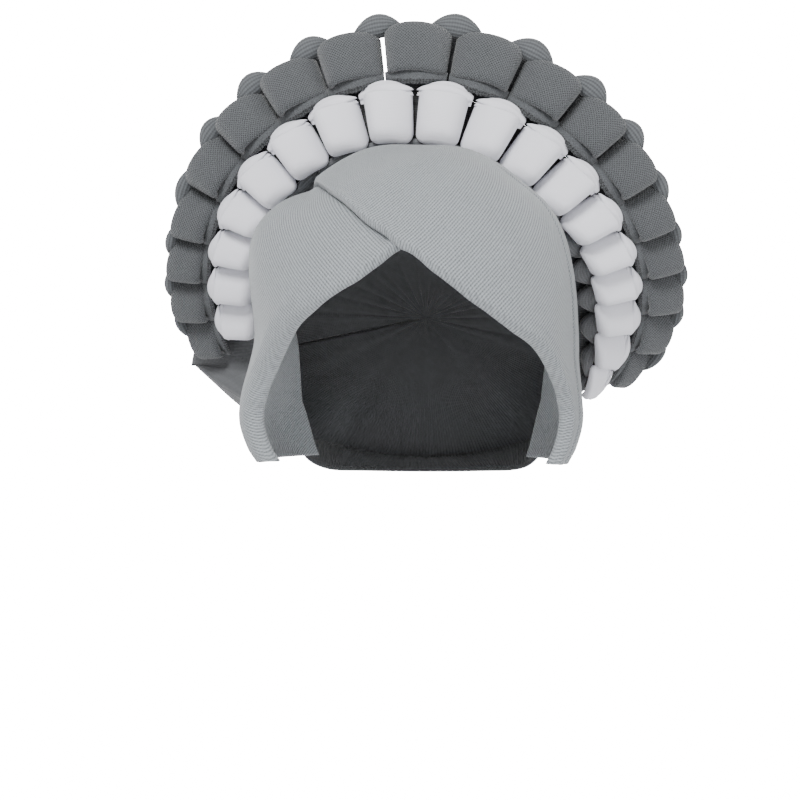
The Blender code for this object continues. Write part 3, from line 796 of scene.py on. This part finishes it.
def grey_band_edges(lean):
    """Far edge swells over the rim, near edge is straight with rounded corners."""
    far = GREY_FAR + GREY_FAR_SWELL * (1.0 - lean ** 2) + GREY_FAR_CORNER * round_corner(lean, GREY_FAR_POWER)
    return far, GREY_NEAR - GREY_NEAR_CORNER * round_corner(lean, GREY_NEAR_POWER)


def grey_crown(place):
    """The outside rolls down a little at both ends of the band."""
    return 1.0 - GREY_END_ROLL * np.abs(2.0 * place - 1.0) ** GREY_END_POWER


def tinted(colour, factor):
    """Lighter or darker tone of a colour: each part times the factor."""
    return tuple(factor * part for part in colour)


grey_cloth = cloth_material("grey_mesh_knit", GREY_COLOUR, "mesh", MESH_PITCH, weave_depth=1.30,
                            relief=0.00034)
flap_cloth = cloth_material("grey_flap_knit", tinted(GREY_COLOUR, 1.22), "mesh", 0.0012, weave_depth=0.50,
                            speckle=0.90)
thread_cloth = cloth_material("grey_thread", tinted(GREY_COLOUR, 0.62), "ribs", 0.0017,
                              slant=math.radians(90.0), weave_depth=1.9)
petal_cloth = cloth_material("grey_ribbed_knit", tinted(GREY_COLOUR, 1.60), "ribs", 0.0013, weave_depth=0.80)
inner_cloth = cloth_material("grey_inner_knit", LOOP_COLOUR, "ribs", 0.0012, weave_depth=0.40)
# A lighter copy of the loop colour: painted light on the back loops' petals near the top of the white row.
painted_light_petal_cloth = cloth_material("grey_knit_painted_light", tinted(LOOP_COLOUR, 1.8), "ribs", 0.0012, weave_depth=0.50)
# A darker copy of the loop colour: painted shade on the white row's back loops, which show in the gaps
# between the white bands.
painted_shade_cloth = cloth_material("grey_knit_painted_shade", tinted(LOOP_COLOUR, 0.42), "ribs", 0.0012, weave_depth=0.40)


def finish_soft(piece, cloth, nodes=()):
    """Cloth on a padded piece, its body and the solids it stands for."""
    piece.data.materials.append(cloth)
    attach(piece, "root")
    for node in nodes:
        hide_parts(node)


def pad_shares(columns):
    """Shares along a pad, from -1 to 1, as a column."""
    return np.linspace(-1.0, 1.0, columns)[:, None]


def soft_pad(name, centre, share, low, high, middle, half, half_links=0.5, ring=36):
    """Closed pad along the row: its section is a superellipse between its low and high edge
    and half to both sides of middle, each a number or a column of values at the shares."""
    turn = np.linspace(0.0, math.tau, ring, endpoint=False)[None, :]
    place = 0.5 + 0.5 * signed_power(np.cos(turn), PAD_BOXY)
    out = middle + half * signed_power(np.sin(turn), PAD_BOXY)
    points = halo_point(centre + half_links * share, low + (high - low) * place, out)
    return skin(name, points, chart_of(points, closed=True), closed=True, capped=True)


def leaf(share, power=2.0):
    """1 in the middle, 0 at both tips; the tips are pointed, more so for a small power."""
    return np.maximum(0.0, 1.0 - np.abs(share) ** power)


def ragged_edge(share, depth, phase):
    """Free edge of a grey flap: a leaf of this depth, notched by two sines."""
    notch = (NOTCH_DEPTH * np.sin(share * NOTCH_TURNS[0] + phase)
             * np.sin(share * NOTCH_TURNS[1] + 2.0 * phase))
    return FLAP_EDGE - (depth + notch) * leaf(share, FLAP_LEAF)


def back_loop(name, centre, half_links, low, high):
    """Back loop: a flat pad behind the rows, thinner where it meets the next."""
    share = pad_shares(37)
    half = LOOP_HALF * at_least(LOOP_THIN_SHARE, leaf(share, 4))
    return soft_pad(name, centre, share, low, high, LOOP_MIDDLE, half, half_links)


for number, centre in enumerate(GREY_LINKS, 1):
    scale = min(1.0, float(spread_at(centre)) / FULL_SPREAD)
    band = arched_strip("grey_band_%02d" % number, centre, grey_band_edges, GREY_HALF_LINKS,
                        LINK_HEIGHT * scale, GREY_THICK, grey_crown, GREY_BOXY)
    finish_soft(band, grey_cloth, ["grey_link_%02d" % number])
    flap_centre = centre + FLAP_SHIFT * lower_side(centre)
    for letter, depth, behind in FLAPS:
        share = pad_shares(61)
        edge = ragged_edge(share, depth, centre)
        middle = scale * (FLAP_FRONT - behind - FLAP_FALL * share ** 2)
        half = 0.5 * FLAP_THICK * at_least(FLAP_THIN_SHARE, leaf(share, 4))
        flap = soft_pad("grey_flap_%02d%s" % (number, letter), flap_centre, share, edge, FLAP_ROOT,
                        middle, half, ring=20)
        finish_soft(flap, flap_cloth)
        share = pad_shares(91)
        edge = ragged_edge(share, depth, centre)
        middle = scale * (FLAP_FRONT + THREAD_RAISED - behind - FLAP_FALL * share ** 2)
        thread = soft_pad("grey_thread_%02d%s" % (number, letter), flap_centre, share, edge + THREAD_LOW,
                          edge + THREAD_HIGH, middle, THREAD_HALF, THREAD_HALF_LINKS, ring=8)
        finish_soft(thread, thread_cloth)

for number, centre in enumerate(GREY_GAPS, 1):
    for aside, half_links, letter in OTHER_LOOPS.get(centre, WHOLE_LOOP):
        loop = back_loop("grey_loop_%02d%s" % (number, letter), centre + aside, half_links,
                         SEAM_ACROSS, GREY_LOOP_END)
        finish_soft(loop, inner_cloth, ["grey_backing"])
    if centre == LAST_GAP:
        continue
    share = pad_shares(37)
    narrowed = 1.0 - PETAL_NARROWING * float(ease(*PETAL_FADE, abs(centre)))
    width = PETAL_WIDTH * narrowed / float(spread_at(centre))
    half = PETAL_HALF_DEPTH * at_least(PETAL_TIP_SHARE, leaf(share) ** PETAL_TIP_POWER)
    petal = soft_pad("grey_petal_%02d" % number, centre + PETAL_SHIFT * lower_side(centre), share,
                     PETAL_ROOT - PETAL_INWARD * leaf(share),
                     PETAL_ROOT + (width - PETAL_HIDDEN) * leaf(share),
                     PETAL_FRONT, half, PETAL_HALF_LINKS)
    finish_soft(petal, petal_cloth, ["grey_backing"])


# White row: padded loops of smooth white knit, rounded like soft bolsters at the end that
# lies on the wraps, with two flaps at the end that meets the grey row. Back loops lie behind
# them, darkened with painted shade, with ends like petals that reach down to the wraps; near
# the top the petals are lightened with painted light.
WHITE_COLOUR = (0.655, 0.655, 0.700)
WHITE_THICK = 0.0026
WHITE_BOXY = (0.86, 0.88)
WHITE_HALF_LINKS = (0.494, 0.456)
WHITE_FAR = -0.175
WHITE_FAR_CORNER = 0.175
WHITE_FAR_POWER = 4.5
WHITE_NEAR = 0.462
WHITE_NEAR_BULGE = 0.040
WHITE_END_ROLL = 0.42
WHITE_END_LENGTH = 0.26
WHITE_END_POWER = 2.2
WHITE_SEAM_ROLL = 0.05
WHITE_LINKS = np.arange(-7.5, 10.0).tolist()
WHITE_GAPS = np.arange(-8.0, 11.0).tolist()
WHITE_FLAPS = [
    # letter, root, depth, behind
    ("a", 0.424, 0.088, 0.0), ("b", 0.360, 0.225, 0.0016),
]
WHITE_FLAP_SLANT = 0.018
WHITE_FLAP_SUNK = 0.056
WHITE_FLAP_LEAST = 0.004
WHITE_FLAP_BOW = 0.018
WHITE_FLAP_FRONT = 0.0079
WHITE_FLAP_FALL = 0.0030
WHITE_FLAP_HALF = 0.0012
WHITE_FLAP_THIN_SHARE = 0.4
WHITE_FLAP_HALF_LINKS = 0.485
BLUNT_AT = 0.25
BLUNT_POWER = 0.7
DEEPEST_ACROSS = -0.80
DEEP_LESS = 0.18
DEEP_FADE = (4.8, 6.0)
HALVINGS = 24
SECOND_WRAP_LINKS = (-4.2, -2.6)
REST_GAP = 0.0008
WHITE_LOOP_LOW = -0.24
WHITE_LOOP_HIGH = SEAM_ACROSS - 0.002
FIRST_LOOP_SHIFT = 0.27
INNER_PETAL_ROOT = -0.30
INNER_PETAL_TOP = -0.20
INNER_PETAL_MIDDLE = BACK_FRONT - 0.5 * BACK_THICK + 0.0012
INNER_PETAL_TIP_SHARE = 0.25
INNER_PETAL_TIP_POWER = 0.6
LIT_PETAL_LINKS = 4.5


def white_band_edges(lean):
    """Near edge almost straight at the seam, far edge with round corners over the wraps."""
    return (WHITE_FAR - WHITE_FAR_CORNER * round_corner(lean, WHITE_FAR_POWER),
            WHITE_NEAR - WHITE_NEAR_BULGE * (1.0 - lean ** 2))


def white_crown(place):
    """The outside rolls far down at the wraps' end (0) and a little at the seam (1)."""
    near_end = np.clip(1.0 - place / WHITE_END_LENGTH, 0.0, 1.0)
    return 1.0 - WHITE_END_ROLL * near_end ** WHITE_END_POWER - WHITE_SEAM_ROLL * place ** 6


white_cloth = cloth_material("white_smooth_knit", WHITE_COLOUR, "ribs", 0.0007, weave_depth=0.03, clouds=0.02,
                             speckle=0.03, relief=0.00006, roughness=0.75, sheen=0.15)

for number, centre in enumerate(WHITE_LINKS, 1):
    scale = min(1.0, float(spread_at(centre)) / FULL_SPREAD)
    band = arched_strip("white_band_%02d" % number, centre, white_band_edges, WHITE_HALF_LINKS,
                        LINK_HEIGHT * scale, WHITE_THICK, white_crown, WHITE_BOXY)
    finish_soft(band, white_cloth, ["white_link_%02d" % number])
    share = pad_shares(49)
    downward = share if lower_side(centre) > 0.0 else -share
    slant = WHITE_FLAP_SLANT * (1.0 - downward)
    blunt = leaf((downward - BLUNT_AT) / (1.0 + BLUNT_AT)) ** BLUNT_POWER
    flap_centre = centre + FLAP_SHIFT * lower_side(centre)
    half = WHITE_FLAP_HALF * at_least(WHITE_FLAP_THIN_SHARE, leaf(share, 4))
    for letter, root, depth, behind in WHITE_FLAPS:
        low = root + slant - WHITE_FLAP_SUNK * leaf(share, 3)
        high = root + slant + WHITE_FLAP_LEAST + WHITE_FLAP_BOW * leaf(share) + depth * blunt
        middle = scale * (WHITE_FLAP_FRONT - behind - WHITE_FLAP_FALL * share ** 2)
        flap = soft_pad("white_flap_%02d%s" % (number, letter), flap_centre, share, low, high, middle,
                        half, WHITE_FLAP_HALF_LINKS, ring=24)
        finish_soft(flap, white_cloth)


def head_level(points, lift):
    """Above 1 outside the head form with this stand-off: the superellipsoid's own sum."""
    high = np.maximum(points[..., 2], 0.0) / (CROWN_HEIGHT + lift)
    back = np.abs(points[..., 1]) / (HEAD_HALF_LENGTH + lift)
    wide = np.abs(points[..., 0]) / (HEAD_HALF_WIDTH + lift)
    around = np.degrees(np.arctan2(wide ** (CROWN_POWER / 2.0), high ** (CROWN_POWER / 2.0)))
    reach = np.degrees(np.arccos(np.minimum(1.0, back ** (SIDE_POWER / 2.0))))
    reach = np.where(points[..., 1] > 0.0, 180.0 - reach, reach)
    plain_up = np.where(points[..., 2] < 0.0, points[..., 2], high * CROWN_HEIGHT)
    stand_off = side_stand_off(np.copysign(around, points[..., 0]), reach, plain_up)
    wide = np.maximum(0.0, np.abs(points[..., 0]) - stand_off) / (HEAD_HALF_WIDTH + lift)
    return (wide ** CROWN_POWER + high ** CROWN_POWER) ** (SIDE_POWER / CROWN_POWER) + back ** SIDE_POWER


def rim_on_head(link, out, lift):
    """Share across the rows where the head form is met, found by halving the interval."""
    link = np.asarray(link, float)
    low = np.full(link.shape, DEEPEST_ACROSS)
    high = np.zeros(link.shape)
    for _ in range(HALVINGS):
        middle = 0.5 * (low + high)
        outside = head_level(halo_point(link, middle, out), lift) > 1.0
        high = np.where(outside, middle, high)
        low = np.where(outside, low, middle)
    return high


def wrap_top(link):
    """Outside of the wraps over the head form: one wrap on the left, two over the rest."""
    return WRAP_THICK + (WRAP_THICK + WRAP_GAP) * ease(*SECOND_WRAP_LINKS, link)


for number, centre in enumerate(WHITE_GAPS, 1):
    shift = FIRST_LOOP_SHIFT if number == 1 else 0.0
    loop = back_loop("white_loop_%02d" % number, centre + shift, 0.5 - shift, WHITE_LOOP_LOW,
                     WHITE_LOOP_HIGH)
    # The white row's back loops take the darker copy, which is painted shade.
    finish_soft(loop, painted_shade_cloth, ["white_backing"])
    if number == 1:
        continue
    lift = wrap_top(centre) + REST_GAP
    touch = max(float(rim_on_head(centre, out, lift)) for out in (-BACK_THICK, 0.0))
    inner_end = max(touch, DEEPEST_ACROSS + DEEP_LESS * float(ease(*DEEP_FADE, abs(centre))))
    share = pad_shares(37)
    low = INNER_PETAL_ROOT + (inner_end - INNER_PETAL_ROOT) * leaf(share)
    tip = at_least(INNER_PETAL_TIP_SHARE, leaf(share) ** INNER_PETAL_TIP_POWER)
    petal = soft_pad("white_petal_%02d" % number, centre, share, low, INNER_PETAL_TOP,
                     INNER_PETAL_MIDDLE, 0.5 * BACK_THICK * tip)
    # Petals near the top take the lighter copy, which is painted light; those on the sides keep the plain
    # loop colour.
    petal_knit = painted_light_petal_cloth if abs(centre) < LIT_PETAL_LINKS else inner_cloth
    finish_soft(petal, petal_knit, ["white_backing"])


# Back bag: one piece of dark grey cloth, sewn under the rows and gathered softly towards
# the middle of the back.
COVER_THICK = 0.0020
COVER_POLE = (0.0, 0.1270, 0.0440)
COVER_COLOUR = (0.070, 0.0735, 0.078)
COVER_LINES = 37
COVER_ROUND = 240
COVER_STEPS = 44
COVER_FORWARD = 0.0100
COVER_FORWARD_FADE = (-8.05, -8.6)
COVER_SIDE_FADE = (6.0, 7.4)
COVER_INNER = -0.10
COVER_INNER_DROP = 0.59
COVER_INNER_FADE = (4.6, 5.8)
NAPE_PLACES = (0.0, 0.30, 0.65, 1.0)
BACKWARD = np.array([0.0, 1.0, 0.0])
LEAVE_BACKWARD = 0.62
LEAVE_OUTWARD = 0.03
POLE_FLAT = 0.55
GATHER_HEIGHT = 0.0011
GATHERS = 23.0
SMALL_GATHERS = 41.0
SMALL_GATHER_SHARE = 0.6
GATHER_GROWS = 1.5
GATHER_ENDS = 0.8
MERGE_UNDER = 0.00002
COVER_LEAVE = [
    # link, across
    (-8.7, 2.00), (-7.6, 1.26), (-5.0, 0.90), (-3.0, 0.50), (0.0, 0.28),
    (3.0, 0.50), (5.0, 0.90), (7.0, 1.12), (9.2, 1.05), (10.1, 0.80),
]
COVER_RIM = [
    # size of link, around, reach
    (6.5, 86.0, 116.0), (7.5, 91.0, 119.0), (8.5, 98.0, 122.0), (9.4, 106.0, 125.0), (10.1, 112.0, 128.0),
]
COVER_NAPE = [
    # step, around, reach, bulge_across, bulge_back, bulge_height
    (1, 122.0, 137.0, 0.86, 1.080, -0.150), (2, 126.0, 148.0, 0.62, 1.120, -0.220),
    (3, 127.0, 162.0, 0.32, 1.150, -0.260), (4, 127.5, 179.0, 0.00, 1.160, -0.270),
    (5, -127.0, 162.0, -0.32, 1.150, -0.260), (6, -126.0, 148.0, -0.62, 1.120, -0.220),
    (7, -121.0, 137.0, -0.90, 1.080, -0.170), (8, -114.0, 134.0, -1.12, 1.060, -0.110),
    (9, -108.0, 130.0, -1.32, 1.050, -0.015), (10, -102.0, 127.0, -1.48, 1.035, 0.080),
    (11, -98.0, 124.0, -1.61, 1.010, 0.160),
]

cover_cloth = cloth_material("cover_ribbed_cloth", COVER_COLOUR, "ribs", RIB_PITCH)


def cover_lines():
    """Rim, two points under the rows and the point that leaves them, for each line of the bag:
    first the lines along the rows, then those below them."""
    link = np.linspace(COVER_LEAVE[0][0], COVER_LEAVE[-1][0], COVER_LINES)
    size = np.abs(link)
    behind = BACK_FRONT - BACK_THICK - REST_GAP + COVER_FORWARD * ease(*COVER_FORWARD_FADE, link)
    lift = wrap_top(link) + REST_GAP + COVER_THICK
    near = halo_point(link, rim_on_head(link, behind, lift), behind)
    far = head_form(np.copysign(curve_through(COVER_RIM, 1, size), link),
                    curve_through(COVER_RIM, 2, size), lift)
    rim = near + (far - near) * ease(*COVER_SIDE_FADE, size)[:, None]
    inner = halo_point(link, COVER_INNER - COVER_INNER_DROP * ease(*COVER_INNER_FADE, size), behind)
    leave = halo_point(link, curve_through(COVER_LEAVE, 1, link), behind)
    nape = np.asarray(COVER_NAPE)
    nape_rim = head_form(nape[:, 1], nape[:, 2], WRAP_THICK * 2.0 + WRAP_GAP + REST_GAP + COVER_THICK)
    nape_leave = nape[:, 3:6] * np.array([HEAD_HALF_WIDTH, HEAD_HALF_LENGTH, CROWN_HEIGHT])
    rows = np.stack([rim, 0.5 * (rim + inner), inner, leave], 1)
    below = np.stack([nape_rim + (nape_leave - nape_rim) * place for place in NAPE_PLACES], 1)
    return np.concatenate([rows, below])


def smooth_ring(values, count):
    """Closed Catmull-Rom curve through rows of points, read at equal steps."""
    total = len(values)
    at = np.linspace(0.0, total, count, endpoint=False)
    spot = at.astype(int)
    share = (at - spot).reshape(-1, *([1] * (values.ndim - 1)))
    before, start, end, after = (values[(spot + shift) % total] for shift in (-1, 0, 1, 2))
    return 0.5 * (2 * start + (end - before) * share + (2 * before - 5 * start + 4 * end - after) * share ** 2
                  + (3 * start - before - 3 * end + after) * share ** 3)


def cover_surface():
    """Bag: straight from the rim over two points to where it leaves the rows, then a Bezier
    curve to the middle of the back, with soft gathers that fade towards both ends."""
    lines = smooth_ring(cover_lines(), COVER_ROUND)
    pole = np.array(COVER_POLE)
    leave = lines[:, 3]
    outside = (leave - pole) * (1.0 - BACKWARD)
    start = leave + BACKWARD * LEAVE_BACKWARD * (pole - leave) + outside * LEAVE_OUTWARD
    end = pole + outside * POLE_FLAT
    way = np.linspace(0.0, 1.0, COVER_STEPS)
    share = way[None, :, None]
    rest = 1.0 - share
    curve = (leave[:, None] * rest ** 3 + start[:, None] * 3 * share * rest ** 2
             + end[:, None] * 3 * share ** 2 * rest + pole * share ** 3)
    spin = np.arange(COVER_ROUND)[:, None] / COVER_ROUND * math.tau
    waves = np.sin(spin * GATHERS) + SMALL_GATHER_SHARE * np.sin(spin * SMALL_GATHERS + 1.0)
    gather = GATHER_HEIGHT * waves * way ** GATHER_GROWS * (1.0 - way) ** GATHER_ENDS
    curve = curve + gather[..., None] * BACKWARD
    middles = 0.5 * (lines[:, :3] + lines[:, 1:])
    front = np.stack([lines[:, :3], middles], 2).reshape(COVER_ROUND, 6, 3)
    return np.concatenate([front, curve], 1)


cover_points = cover_surface()
cover_grid = np.swapaxes(np.concatenate([cover_points, cover_points[:1]]), 0, 1)
cover = skin("back_bag", cover_grid, chart_of(cover_grid), facing=(0.0, 0.03, 0.04))
work = bmesh.new()
work.from_mesh(cover.data)
bmesh.ops.remove_doubles(work, verts=work.verts[:], dist=MERGE_UNDER)
bmesh.ops.recalc_face_normals(work, faces=work.faces[:])
work.to_mesh(cover.data)
work.free()
give_wall(cover)
cover.data.materials.append(cover_cloth)
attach(cover, "root")
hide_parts("rear_cover")
